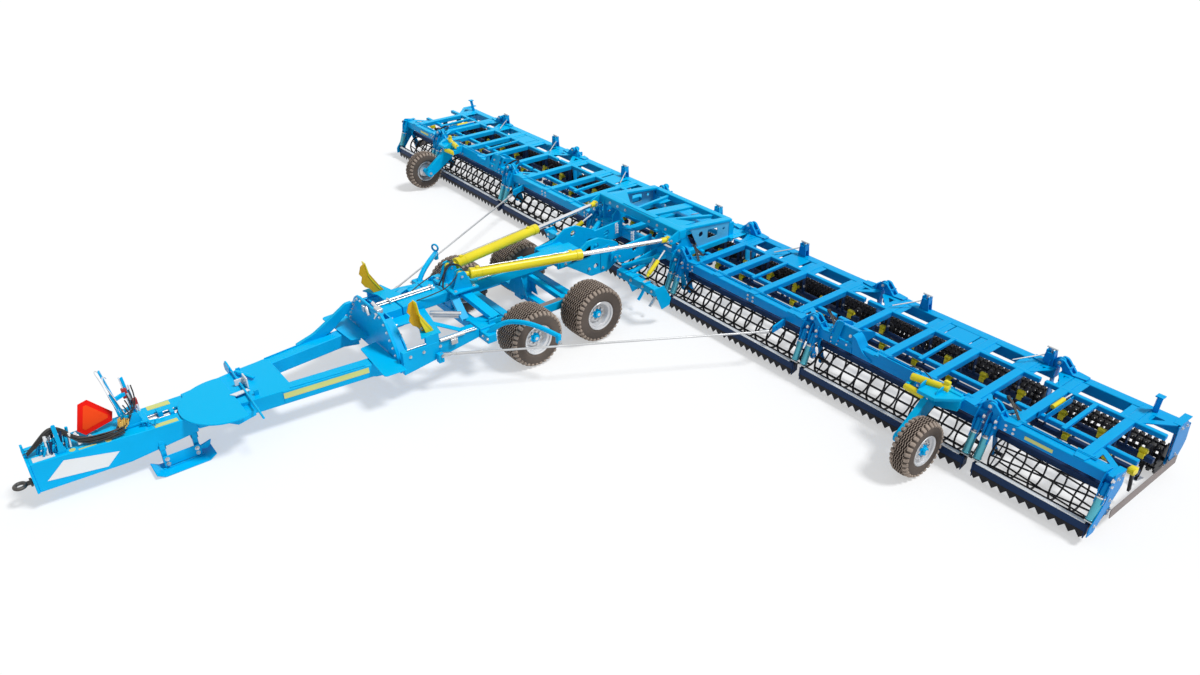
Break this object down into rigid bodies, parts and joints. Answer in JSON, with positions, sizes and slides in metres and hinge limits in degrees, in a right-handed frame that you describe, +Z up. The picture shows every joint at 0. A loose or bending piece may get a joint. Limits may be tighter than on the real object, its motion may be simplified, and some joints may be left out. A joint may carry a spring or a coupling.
{
  "type": "trailed folding seedbed cultivator",
  "caption": "Wide trailed seedbed cultivator, unfolded: drawbar on transport wheels, hinged tool sections with levelling bars, tine rows and rollers.",
  "frame": {"origin": "on the ground, under the middle of the machine's box", "axes": "+X forward to the towing eye, +Y to the machine's left along the tool frame, +Z up"},
  "size_m": [11.182, 16.004, 1.4432],
  "materials": {
    "blue_paint": "gloss sky blue enamel, a little dusty",
    "navy_paint": "satin navy enamel",
    "yellow_paint": "gloss yellow enamel",
    "black_paint": "satin black enamel",
    "chrome": "hard chromed and polished",
    "galvanised": "zinc plated",
    "cast_eye": "oiled dark forging",
    "tyre": "brown-grey dusty rubber",
    "rim": "silver enamel",
    "hose": "matt black hose",
    "sign_red": "reflective red and orange sheet"
  },
  "bodies": {
    "chassis": {"drawbar_nose": "blue_paint", "drawbar_fork": "blue_paint", "portal_frame": "blue_paint", "spine_beam": "blue_paint", "axle_frame": "blue_paint", "wing_catchers": "yellow_paint", "wing_stays": "galvanised", "coupling_rack": "galvanised", "hose_bundle": "hose", "warning_triangle": "sign_red", "stand_sleeves": "blue_paint"},
    "towing_eye": {"towing_eye": "cast_eye"},
    "parking_stand": {"parking_stand": "blue_paint"},
    "wheel_front_left": {"tyre_front_left": "tyre", "rim_front_left": "rim"},
    "wheel_front_right": {"tyre_front_right": "tyre", "rim_front_right": "rim"},
    "wheel_rear_left": {"tyre_rear_left": "tyre", "rim_rear_left": "rim"},
    "wheel_rear_right": {"tyre_rear_right": "tyre", "rim_rear_right": "rim"},
    "centre_section": {"centre_frame": "blue_paint", "centre_tools": "navy_paint"},
    "centre_front_roller": {"centre_front_roller": "black_paint"},
    "centre_rear_roller": {"centre_rear_roller": "black_paint"},
    "inner_left": {"inner_left_frame": "blue_paint", "inner_left_tools": "navy_paint"},
    "middle_left": {"middle_left_frame": "blue_paint", "middle_left_tools": "navy_paint", "support_arm_left": "blue_paint"},
    "outer_left": {"outer_left_frame": "blue_paint", "outer_left_tools": "navy_paint"},
    "inner_left_front_roller": {"inner_left_front_roller": "black_paint"},
    "inner_left_rear_roller": {"inner_left_rear_roller": "black_paint"},
    "middle_left_front_roller": {"middle_left_front_roller": "black_paint"},
    "middle_left_rear_roller": {"middle_left_rear_roller": "black_paint"},
    "outer_left_front_roller": {"outer_left_front_roller": "black_paint"},
    "outer_left_rear_roller": {"outer_left_rear_roller": "black_paint"},
    "support_wheel_left": {"support_tyre_left": "tyre", "support_rim_left": "rim"},
    "lift_barrel_left": {"lift_barrel_left": "yellow_paint"},
    "lift_rod_left": {"lift_rod_left": "chrome"},
    "inner_right": {"inner_right_frame": "blue_paint", "inner_right_tools": "navy_paint"},
    "middle_right": {"middle_right_frame": "blue_paint", "middle_right_tools": "navy_paint", "support_arm_right": "blue_paint"},
    "outer_right": {"outer_right_frame": "blue_paint", "outer_right_tools": "navy_paint"},
    "inner_right_front_roller": {"inner_right_front_roller": "black_paint"},
    "inner_right_rear_roller": {"inner_right_rear_roller": "black_paint"},
    "middle_right_front_roller": {"middle_right_front_roller": "black_paint"},
    "middle_right_rear_roller": {"middle_right_rear_roller": "black_paint"},
    "outer_right_front_roller": {"outer_right_front_roller": "black_paint"},
    "outer_right_rear_roller": {"outer_right_rear_roller": "black_paint"},
    "support_wheel_right": {"support_tyre_right": "tyre", "support_rim_right": "rim"},
    "lift_barrel_right": {"lift_barrel_right": "yellow_paint"},
    "lift_rod_right": {"lift_rod_right": "chrome"}
  },
  "joints": [
    {"name": "towing_eye_swivel", "type": "hinge", "parent": "chassis", "child": "towing_eye", "pos_m": [5.349, 0, 0.305], "axis": [1, 0, 0], "range_deg": [-45, 45]},
    {"name": "parking_stand_lift", "type": "slide", "parent": "chassis", "child": "parking_stand", "axis": [0, 0, 1], "range_m": [0, 0.17]},
    {"name": "wheel_front_left_spin", "type": "hinge", "parent": "chassis", "child": "wheel_front_left", "pos_m": [-0.931, 0.99, 0.433], "axis": [0, 1, 0], "continuous": true},
    {"name": "wheel_front_right_spin", "type": "hinge", "parent": "chassis", "child": "wheel_front_right", "pos_m": [-0.931, -0.99, 0.433], "axis": [0, 1, 0], "continuous": true},
    {"name": "wheel_rear_left_spin", "type": "hinge", "parent": "chassis", "child": "wheel_rear_left", "pos_m": [-2.051, 0.99, 0.433], "axis": [0, 1, 0], "continuous": true},
    {"name": "wheel_rear_right_spin", "type": "hinge", "parent": "chassis", "child": "wheel_rear_right", "pos_m": [-2.051, -0.99, 0.433], "axis": [0, 1, 0], "continuous": true},
    {"name": "frame_tilt", "type": "hinge", "parent": "chassis", "child": "centre_section", "pos_m": [-3.001, 0, 0.8], "axis": [0, 1, 0], "range_deg": [0, 90]},
    {"name": "centre_front_roller_spin", "type": "hinge", "parent": "centre_section", "child": "centre_front_roller", "pos_m": [-3.941, 0, 0.215], "axis": [0, 1, 0], "continuous": true},
    {"name": "centre_rear_roller_spin", "type": "hinge", "parent": "centre_section", "child": "centre_rear_roller", "pos_m": [-5.381, 0, 0.21], "axis": [0, 1, 0], "continuous": true},
    {"name": "wing_fold_left", "type": "hinge", "parent": "centre_section", "child": "inner_left", "pos_m": [-4.551, 1.08, 0.95], "axis": [1, 0, 0], "range_deg": [0, 90]},
    {"name": "middle_knuckle_left", "type": "hinge", "parent": "inner_left", "child": "middle_left", "pos_m": [-4.551, 3.78, 0.93], "axis": [1, 0, 0], "range_deg": [-4, 4]},
    {"name": "outer_knuckle_left", "type": "hinge", "parent": "middle_left", "child": "outer_left", "pos_m": [-4.551, 6.48, 0.93], "axis": [1, 0, 0], "range_deg": [-4, 4]},
    {"name": "inner_left_front_roller_spin", "type": "hinge", "parent": "inner_left", "child": "inner_left_front_roller", "pos_m": [-3.941, 2.43, 0.215], "axis": [0, 1, 0], "continuous": true},
    {"name": "inner_left_rear_roller_spin", "type": "hinge", "parent": "inner_left", "child": "inner_left_rear_roller", "pos_m": [-5.381, 2.43, 0.21], "axis": [0, 1, 0], "continuous": true},
    {"name": "middle_left_front_roller_spin", "type": "hinge", "parent": "middle_left", "child": "middle_left_front_roller", "pos_m": [-3.941, 5.13, 0.215], "axis": [0, 1, 0], "continuous": true},
    {"name": "middle_left_rear_roller_spin", "type": "hinge", "parent": "middle_left", "child": "middle_left_rear_roller", "pos_m": [-5.381, 5.13, 0.21], "axis": [0, 1, 0], "continuous": true},
    {"name": "outer_left_front_roller_spin", "type": "hinge", "parent": "outer_left", "child": "outer_left_front_roller", "pos_m": [-3.941, 7.245, 0.215], "axis": [0, 1, 0], "continuous": true},
    {"name": "outer_left_rear_roller_spin", "type": "hinge", "parent": "outer_left", "child": "outer_left_rear_roller", "pos_m": [-5.381, 7.245, 0.21], "axis": [0, 1, 0], "continuous": true},
    {"name": "support_wheel_left_spin", "type": "hinge", "parent": "middle_left", "child": "support_wheel_left", "pos_m": [-3.076, 6.03, 0.38], "axis": [0, 1, 0], "continuous": true},
    {"name": "lift_root_left", "type": "hinge", "parent": "chassis", "child": "lift_barrel_left", "pos_m": [-0.351, 0.17, 1.24], "axis": [0.227, 0.9739, 0], "range_deg": [0, 6.2]},
    {"name": "lift_stroke_left", "type": "slide", "parent": "lift_barrel_left", "child": "lift_rod_left", "axis": [-0.9733, 0.2269, -0.0358], "range_m": [-0.96, 0]},
    {"name": "wing_fold_right", "type": "hinge", "parent": "centre_section", "child": "inner_right", "pos_m": [-4.551, -1.08, 0.95], "axis": [-1, 0, 0], "range_deg": [0, 90]},
    {"name": "middle_knuckle_right", "type": "hinge", "parent": "inner_right", "child": "middle_right", "pos_m": [-4.551, -3.78, 0.93], "axis": [-1, 0, 0], "range_deg": [-4, 4]},
    {"name": "outer_knuckle_right", "type": "hinge", "parent": "middle_right", "child": "outer_right", "pos_m": [-4.551, -6.48, 0.93], "axis": [-1, 0, 0], "range_deg": [-4, 4]},
    {"name": "inner_right_front_roller_spin", "type": "hinge", "parent": "inner_right", "child": "inner_right_front_roller", "pos_m": [-3.941, -2.43, 0.215], "axis": [0, 1, 0], "continuous": true},
    {"name": "inner_right_rear_roller_spin", "type": "hinge", "parent": "inner_right", "child": "inner_right_rear_roller", "pos_m": [-5.381, -2.43, 0.21], "axis": [0, 1, 0], "continuous": true},
    {"name": "middle_right_front_roller_spin", "type": "hinge", "parent": "middle_right", "child": "middle_right_front_roller", "pos_m": [-3.941, -5.13, 0.215], "axis": [0, 1, 0], "continuous": true},
    {"name": "middle_right_rear_roller_spin", "type": "hinge", "parent": "middle_right", "child": "middle_right_rear_roller", "pos_m": [-5.381, -5.13, 0.21], "axis": [0, 1, 0], "continuous": true},
    {"name": "outer_right_front_roller_spin", "type": "hinge", "parent": "outer_right", "child": "outer_right_front_roller", "pos_m": [-3.941, -7.245, 0.215], "axis": [0, 1, 0], "continuous": true},
    {"name": "outer_right_rear_roller_spin", "type": "hinge", "parent": "outer_right", "child": "outer_right_rear_roller", "pos_m": [-5.381, -7.245, 0.21], "axis": [0, 1, 0], "continuous": true},
    {"name": "support_wheel_right_spin", "type": "hinge", "parent": "middle_right", "child": "support_wheel_right", "pos_m": [-3.076, -6.03, 0.38], "axis": [0, 1, 0], "continuous": true},
    {"name": "lift_root_right", "type": "hinge", "parent": "chassis", "child": "lift_barrel_right", "pos_m": [-0.351, -0.17, 1.24], "axis": [-0.227, 0.9739, 0], "range_deg": [0, 6.2]},
    {"name": "lift_stroke_right", "type": "slide", "parent": "lift_barrel_right", "child": "lift_rod_right", "axis": [-0.9733, -0.2269, -0.0358], "range_m": [-0.96, 0]}
  ],
  "couplings": [
    {"joint": "lift_root_left", "follows": "frame_tilt", "ratio": 0.068},
    {"joint": "lift_stroke_left", "follows": "frame_tilt", "m_per_rad": -0.60543},
    {"joint": "lift_root_right", "follows": "frame_tilt", "ratio": 0.068},
    {"joint": "lift_stroke_right", "follows": "frame_tilt", "m_per_rad": -0.60543}
  ]
}
